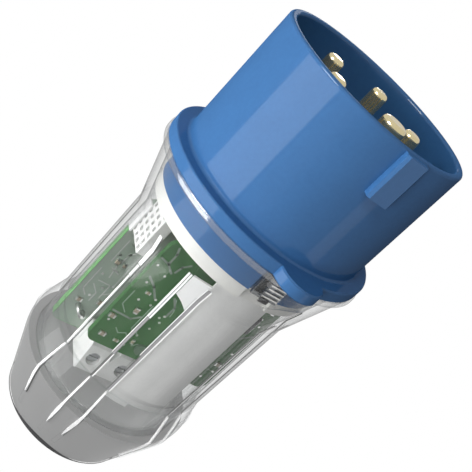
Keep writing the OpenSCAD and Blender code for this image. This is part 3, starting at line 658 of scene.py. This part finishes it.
# The nut's ribs go on in line with the rails and run out to points on the tail, each with a glowing bar
# of painted highlight. A thin dark line of painted shade follows each rib at one side, up to the rib's last
# step
nutRibs = {
    "angles": (-61.2, -36.3, -23.2, 23.2, 36.3, 61.2),
    "heights": (10.4, 12.2, 14.5, 18.7, 22.3, 27.0, 31.8),
    "widths": (0.05, 0.45, 0.80, 0.95, 0.60, 0.52, 0.42),
    "deep": 0.4,
    "out": 0.2,
    "lineOut": 0.1,
    "lineWidth": 0.12,
    "lineShift": 0.55,
}


def nutOuter(heights):
    # Radius read off the flank in straight lines between its heights
    return np.interp(heights, flank["heights"], flank["radii"])


def makeNutRibs():
    heights = np.array(nutRibs["heights"])
    outer = nutOuter(heights)
    inner = outer - nutRibs["deep"]
    highlights, shadeLines = [], []
    for angle in nutRibs["angles"]:
        highlights.append(strand(angle, heights, inner, outer + nutRibs["out"], nutRibs["widths"]))
        edge = outer[:-1] + nutRibs["lineOut"]
        place = (nutRibs["lineWidth"], nutRibs["lineShift"])
        shadeLines.append(strand(angle, heights[:-1], inner[:-1], edge, *place))
    addPiece("nut_rib_highlights", joined(highlights), "railHighlight", "gland_nut")
    addPiece("nut_rib_shade_lines", joined(shadeLines), "railShade", "gland_nut")


# The rear board's left, right and lower edges are bare laminate, lighter than the mask and painted a
# brighter green for the light they catch: the low and the high corner of each strip
boardEdges = {
    "left": ((-22.34, 5.0, 25.4), (-22.09, 7.1, 61.0)),
    "right": ((22.09, 5.2, 25.4), (22.34, 6.8, 70.6)),
    "foot": ((-20.8, 5.3, 23.75), (20.8, 6.7, 24.0)),
}


def makeBoardEdges():
    addPiece("board_edges", boxes(list(boardEdges.values())), "edgeGreen", bevel=0.08)


# Where the boards' faces lie along Y, and the way out of each
faceAt = {"mainFront": -12.8, "rearFront": 5.2, "rearBack": 6.8}
wayOut = {"mainFront": -1, "rearFront": -1, "rearBack": 1}

# Printed runs and round pads, as (x, z): on the main board's front, on the rear board's front, where
# the gap at the left shows them, and on the rear board's back
mainRuns = {
    "broad": [
        [(-17.6, 73.6), (-16.9, 71.8), (-16.8, 68.2), (-14.4, 66.2)],
        [(-16.8, 68.2), (-19.4, 69.0)],
        [(-13.7, 67.0), (-13.2, 69.2), (-11.7, 70.8)],
        [(-18.2, 62.5), (-15.2, 60.2), (-12.6, 57.2)],
        [(-19.2, 48.5), (-13.6, 48.2), (-11.8, 50.0)],
        [(-8.2, 59.8), (-6.2, 57.3), (-6.3, 53.6)],
        [(17.8, 72.6), (16.4, 69.5), (12.2, 69.0)],
        [(18.4, 60.0), (15.2, 57.0), (15.2, 47.0)],
        [(10.5, 71.5), (9.0, 68.0), (9.0, 56.0)],
    ],
    "fine": [
        [(-7.5, 59.7), (-5.6, 56.1), (-5.4, 54.2)],
        [(-18.6, 56.6), (-18.6, 51.5), (-16.4, 49.4)],
        [(-14.9, 43.6), (-13.5, 42.4), (-11.6, 43.4), (-10.4, 42.2)],
        [(-7.6, 40.2), (-6.4, 41.6), (-5.0, 40.6)],
        [(-10.4, 55.6), (-10.4, 46.0), (-8.6, 44.2)],
        [(-11.4, 54.8), (-11.4, 45.6), (-9.6, 43.8), (-9.6, 39.6)],
        [(11.2, 56.0), (11.2, 46.0), (9.8, 44.6), (9.8, 39.0)],
        [(12.2, 56.0), (12.2, 45.6), (10.8, 44.2), (10.8, 39.0)],
        [(13.2, 57.5), (13.2, 45.2), (14.6, 43.8), (18.0, 43.8)],
    ],
    "pads": [
        (-16.0, 54.8), (-12.2, 54.8), (-12.2, 57.0), (-18.4, 45.2), (-6.6, 53.5), (-7.5, 52.4),
        (-7.3, 47.9), (-9.7, 56.1), (-6.4, 51.0), (-15.2, 64.6), (-18.9, 66.6), (-8.6, 44.2),
        (-9.6, 39.6), (-17.8, 60.6), (17.6, 64.0), (18.2, 52.0), (18.0, 43.8), (9.0, 56.0),
        (16.2, 40.6), (8.2, 50.0), (7.2, 62.0),
    ],
}
rearRuns = {
    "front": [
        [(-19.6, 58.0), (-19.6, 49.6)],
        [(-15.4, 60.0), (-15.4, 55.2), (-16.8, 53.6), (-16.8, 50.4)],
        [(-17.9, 47.6), (-15.2, 46.6)],
        [(-17.2, 48.6), (-16.6, 44.4)],
        [(-13.6, 60.5), (-13.6, 42.0)],
        [(-20.4, 46.0), (-20.4, 37.5), (-18.6, 35.6)],
        [(-18.4, 42.0), (-14.6, 42.0), (-14.6, 36.6)],
        [(-12.4, 60.5), (-12.4, 40.0), (-14.2, 38.2)],
        [(-11.2, 60.5), (-11.2, 46.5)],
        [(-18.8, 40.2), (-16.4, 37.8), (-16.4, 34.4)],
        [(20.8, 68.0), (20.8, 46.0)],
        [(5.6, 66.0), (5.6, 52.0)],
    ],
    "frontPads": [
        (-18.8, 52.5), (-16.4, 54.1), (-17.8, 57.2), (-16.2, 47.2), (-18.9, 44.6), (-15.9, 40.2),
        (-13.6, 42.0), (-20.4, 60.6), (-11.2, 46.5), (-17.4, 36.2), (20.8, 46.0), (5.6, 52.0),
    ],
    "back": [
        [(5.0, 46.6), (9.4, 46.6), (12.0, 49.2), (12.0, 66.0)],
        [(5.0, 48.2), (8.6, 48.2), (10.8, 50.4), (10.8, 66.0)],
        [(-5.0, 47.4), (-8.4, 47.4), (-10.4, 45.4), (-10.4, 38.6)],
        [(-5.0, 49.0), (-9.0, 49.0), (-12.2, 45.8), (-12.2, 41.6)],
        [(-2.4, 45.0), (-2.4, 42.4), (-4.8, 40.0), (-4.8, 36.8)],
        [(2.4, 45.0), (2.4, 42.4), (4.8, 40.0), (4.8, 36.8)],
        [(-3.2, 55.0), (-3.2, 60.0), (-8.0, 64.8), (-8.0, 69.0)],
        [(-1.6, 55.0), (-1.6, 61.0), (-5.6, 65.0), (-5.6, 69.0)],
        [(3.2, 55.0), (3.2, 62.0), (7.0, 65.8), (16.4, 65.8)],
        [(-15.8, 38.0), (-19.6, 41.8), (-19.6, 60.0)],
        [(-15.8, 36.6), (-20.6, 41.4), (-20.6, 62.0)],
        [(16.8, 64.0), (16.8, 44.0), (14.4, 41.6), (14.4, 30.0)],
    ],
    "backPads": [
        (-8.0, 69.0), (-5.6, 69.0), (12.0, 66.0), (10.8, 66.0), (-19.6, 60.0), (-20.6, 62.0),
        (14.4, 30.0), (16.4, 65.8), (-4.8, 36.8), (4.8, 36.8), (11.0, 62.5), (17.0, 62.5),
        (11.0, 46.0), (17.0, 46.0), (12.0, 35.6), (16.0, 35.6), (-2.0, 33.5), (2.0, 33.5),
    ],
}
# Each printed piece: the face it lies on, how high it stands, and how wide its runs or how big the
# radius of its pads
boardPrint = {
    "main_runs": {
        "on": "mainFront", "high": 0.05, "runs": mainRuns["broad"], "width": 0.62, "finish": "runGrey",
    },
    "main_lines": {
        "on": "mainFront", "high": 0.045, "runs": mainRuns["fine"], "width": 0.3, "finish": "runPale",
    },
    "main_pads": {"on": "mainFront", "high": 0.12, "pads": mainRuns["pads"], "radius": 0.36},
    "rear_lines": {
        "on": "rearFront", "high": 0.05, "runs": rearRuns["front"], "width": 0.34, "finish": "runWhite",
    },
    "rear_pads": {"on": "rearFront", "high": 0.1, "pads": rearRuns["frontPads"], "radius": 0.4},
    "rear_back_lines": {
        "on": "rearBack", "high": 0.045, "runs": rearRuns["back"], "width": 0.4, "finish": "runPale",
    },
    "rear_back_pads": {"on": "rearBack", "high": 0.35, "pads": rearRuns["backPads"], "radius": 0.7},
}


def makeBoardPrint():
    for name, facts in boardPrint.items():
        face = faceAt[facts["on"]]
        out = wayOut[facts["on"]] * facts["high"]
        if "runs" in facts:
            addPiece(name, tracks(facts["runs"], facts["width"], face, out), facts["finish"])
        else:
            addPiece(name, dots(facts["pads"], facts["radius"], face, out), "tinned")


# Small soldered parts, as (x, z, width, height) on each face: a body between two tinned ends
smallParts = {
    "mainFront": [
        (-18.6, 47.0, 2.0, 1.25), (-14.2, 51.6, 1.25, 2.0), (-15.4, 58.0, 1.6, 0.8),
        (-8.2, 41.8, 0.8, 1.6), (-17.0, 40.4, 2.0, 1.25), (-12.4, 40.0, 1.6, 0.8),
        (13.0, 50.5, 1.25, 2.0), (17.2, 47.0, 2.0, 1.25), (7.4, 70.6, 1.6, 0.8),
        (17.2, 70.4, 1.25, 2.0),
    ],
    "rearFront": [
        (-18.0, 50.4, 1.25, 2.0), (-15.6, 50.0, 0.8, 1.6), (-19.2, 33.6, 2.0, 1.25),
        (-13.4, 35.4, 2.0, 1.25), (-17.4, 59.4, 1.6, 0.8),
    ],
    "rearBack": [
        (-9.4, 53.4, 2.0, 1.25), (-9.4, 51.4, 2.0, 1.25), (7.8, 53.6, 1.25, 2.0),
        (9.6, 43.0, 1.6, 0.8), (-16.4, 46.4, 1.25, 2.0), (-14.4, 46.4, 1.25, 2.0),
        (0.0, 58.6, 2.0, 1.25), (4.0, 68.2, 1.25, 2.0), (18.6, 55.0, 1.25, 2.0),
        (18.6, 51.0, 1.25, 2.0), (-1.2, 39.4, 0.8, 1.6), (1.2, 39.4, 0.8, 1.6),
    ],
}
# How a small part is made, in shares of its longer side along it and of its shorter side across it:
# thickness = thick * shorter side + base
smallWork = {
    "endPlace": 0.38,
    "endReach": 0.12,
    "endSpread": 0.5,
    "bodyReach": 0.25,
    "bodySpread": 0.47,
    "thick": 0.45,
    "base": 0.15,
    "lower": 0.03,
}


def partBlock(spot, place, reach, spread, low, top):
    # Corners of a box so far along the part from its middle, reaching so far both ways along it and
    # spreading so far both ways across it
    x, z, wide, high = spot
    if wide > high:
        return (x + place - reach, low, z - spread), (x + place + reach, top, z + spread)
    return (x - spread, low, z + place - reach), (x + spread, top, z + place + reach)


def makeSmallParts(name, on):
    bodies, ends = [], []
    for spot in smallParts[on]:
        wide, high = spot[2:]
        short, long = sorted((wide, high))
        thick = smallWork["thick"] * short + smallWork["base"]
        low, top = sorted((faceAt[on], faceAt[on] + wayOut[on] * thick))
        reach, spread = smallWork["endReach"] * long, smallWork["endSpread"] * short
        for side in (-1, 1):
            ends.append(partBlock(spot, side * smallWork["endPlace"] * long, reach, spread, low, top))
        if wayOut[on] > 0 and wide > high:  # bodies that lie along X on the back stand lower
            top -= smallWork["lower"]
        reach, spread = smallWork["bodyReach"] * long, smallWork["bodySpread"] * short
        bodies.append(partBlock(spot, 0.0, reach, spread, low, top))
    addPiece(name + "_bodies", boxes(bodies), "partTan", bevel=0.05)
    addPiece(name + "_ends", boxes(ends), "tinned", bevel=0.06)


# Gull-wing legs of the three chips: (x, z, width, height, face, pitch). Each leg has a foot, a knee
# and a shoulder, from near to far of the chip's side and from low to high off the board
chipLegs = {
    "chips": (
        (13.2, 64.0, 5.0, 6.2, "mainFront", 1.27),
        (0.0, 50.0, 10.0, 10.0, "rearBack", 0.8),
        (-13.2, 37.8, 5.0, 6.2, "rearBack", 1.27),
    ),
    "bends": ((0.35, 1.0, 0.0, 0.15), (0.3, 0.45, 0.1, 0.75), (-0.05, 0.4, 0.6, 0.75)),
    "halfWidth": 0.22,
    "margin": 1,
}


def makeChipLegs():
    # As many legs a side as fit between the margins, a pitch apart and centred on the chip
    legs = []
    for x, z, wide, high, on, pitch in chipLegs["chips"]:
        count = int((high - chipLegs["margin"]) / pitch) + 1
        rows = z + (np.arange(count) - (count - 1) / 2) * pitch
        half = pitch * chipLegs["halfWidth"]
        for row in rows:
            for side in (-1, 1):
                edge = x + side * wide / 2
                for near, far, low, top in chipLegs["bends"]:
                    left, right = sorted((edge + side * near, edge + side * far))
                    front, back = sorted((faceAt[on] + wayOut[on] * low, faceAt[on] + wayOut[on] * top))
                    legs.append(((left, front, row - half), (right, back, row + half)))
    addPiece("chip_legs", boxes(legs), "tinned", bevel=0.03)


# The header's foot on the rear board's edge, and a liner that follows the insert's funnel and closes
# its throat until the cable is pushed through: rings of (radius, height), out to the rim and back in
headerFoot = {"low": (-22.5, 3.9, 61.3), "high": (-21.9, 7.5, 71.2)}
liner = {
    "rings": ((7.4, 9.15), (7.9, 9.2), (22.2, 20.85), (22.1, 21.0), (21.6, 20.75), (7.6, 9.5), (7.2, 9.5)),
    "steps": 128,
}


def makeSmallShells():
    foot = boxes([(headerFoot["low"], headerFoot["high"])])
    addPiece("header_foot", foot, "wingWhite", bevel=0.15)
    turn = np.linspace(0, 2 * math.pi, liner["steps"], endpoint=False)
    rim = np.stack([np.cos(turn), np.sin(turn), 0 * turn], -1)
    rings = [rim * radius + (0, 0, height) for radius, height in liner["rings"]]
    addPiece("gland_sheet", loft(np.array(rings)), "sheetGrey", smooth=True)


# The cover's wing, between two guide rails beside the ring. Low and high are its ends' heights
wing = {
    "angles": (-34.9, -21.6),
    "low": (65.6, 62.9),
    "high": (72.4, 73.4),
    "bow": 0.5,
    "inner": 22.2,
    "outer": 23.1,
    "steps": 15,
}


def makeWing():
    # A curved plate: its upper edge is straight, its lower one is bowed by bow * sin(pi * share)
    turn = np.radians(np.linspace(*wing["angles"], wing["steps"]) - 90)[:, None]
    share = np.linspace(0, 1, wing["steps"])
    low = np.interp(share, (0, 1), wing["low"]) + wing["bow"] * np.sin(math.pi * share)
    high = np.interp(share, (0, 1), wing["high"])
    radius = np.array([wing["inner"], wing["outer"], wing["outer"], wing["inner"]])
    heights = np.stack([low, low, high, high], -1)
    rings = np.stack([radius * np.cos(turn), radius * np.sin(turn), heights], -1)
    addPiece("cover_wing", loft(rings), "wingWhite", smooth=True)


# The insert as the thick clear cone shows it, spread to the nut's outline: a thin skin just inside
# the nut's face with a lid, and a ring at its foot
skin = {
    "heights": (0.7, 4.0, 8.0, 12.0, 16.0, 19.0, 20.8),
    "depth": 0.45,
    "thick": 0.3,
    "lidRadius": 24.9,
    "base": ((8.6, 0.5), (20.2, 0.5), (20.2, 0.8), (8.6, 0.8)),
}
# Painted shade: a dark line round the tail's lower edge, thickest on the side that faces the camera: its
# four corners as (radius, height), of which the last two rise with its thickness, and the angle from +X
# at which it is thickest
tailShadeLine = {
    "corners": ((20.55, 0.35), (20.72, 0.5), (20.72, 0.5), (20.5, 0.4)),
    "thin": 0.12,
    "swell": 1.25,
    "angle": 238,
    "spread": 24,
    "steps": 160,
}


def makeSkin():
    # Outline = up the nut's face less the depth, round the lid, and down again one thickness further in
    heights = np.array(skin["heights"])
    outer = np.stack([nutOuter(heights) - skin["depth"], heights], -1)
    inner = outer - (skin["thick"], 0)
    edge, top = outer[-1]
    lid = [(edge, top + skin["thick"]), (skin["lidRadius"], top + skin["thick"]), (skin["lidRadius"], top)]
    outline = np.vstack([outer, lid, inner[::-1]])
    addPiece("insert_skin", lathe(outline), "insertSkin", "gland_nut", smooth=True)
    addPiece("insert_base", lathe(skin["base"]), "insertSkin", "gland_nut")


def makeTailShadeLine():
    # Thickness at each turn = thin + swell * exp(-((turn - angle) / spread)^2)
    turn = np.linspace(0, 2 * math.pi, tailShadeLine["steps"], endpoint=False)
    away = (turn - math.radians(tailShadeLine["angle"])) / math.radians(tailShadeLine["spread"])
    outlines = np.zeros((tailShadeLine["steps"], 4, 2)) + tailShadeLine["corners"]
    outlines[:, 2:, 1] += (tailShadeLine["thin"] + tailShadeLine["swell"] * np.exp(-(away**2)))[:, None]
    line = lathe(outlines, tailShadeLine["steps"])
    addPiece("tail_shade_line", line, "chipBlack", "gland_nut", smooth=True)


# A moulded bead round the collar's upper edge, under the flange
bead = {
    "outline": [(32.05, 88.7), (32.62, 88.75), (32.78, 89.1), (32.78, 90.0), (32.6, 90.28), (32.05, 90.28)],
    "steps": 192,
}


def makeBead():
    addPiece("collar_bead", lathe(bead["outline"], bead["steps"]), "beadClear", smooth=True)


# Ridges and a latch nose on the catch's face
catchFace = {
    "ridges": (82.6, 83.8, 85.0, 86.2),
    "ridgeHigh": 0.45,
    "ridgeHalf": 2.4,
    "front": -29.25,
    "back": -28.85,
    "nose": ((-2.3, -29.3, 80.9), (0.4, -28.85, 82.2)),
}


def makeCatchParts():
    half, front, back = catchFace["ridgeHalf"], catchFace["front"], catchFace["back"]
    high = catchFace["ridgeHigh"]
    ridges = [((-half, front, z), (half, back, z + high)) for z in catchFace["ridges"]]
    addPiece("catch_ridges", boxes(ridges), "catchBright", "lock_catch", bevel=0.08)
    addPiece("catch_nose", boxes([catchFace["nose"]]), "catchDark", "lock_catch", bevel=0.1)


makeRails()
makeNutRibs()
makeBoardEdges()
makeBoardPrint()
makeSmallParts("main_parts", "mainFront")
makeSmallParts("rear_parts", "rearFront")
makeSmallParts("rear_back_parts", "rearBack")
makeChipLegs()
makeSmallShells()
makeWing()
makeSkin()
makeTailShadeLine()
makeBead()
makeCatchParts()
print("rails, print and small parts are added")
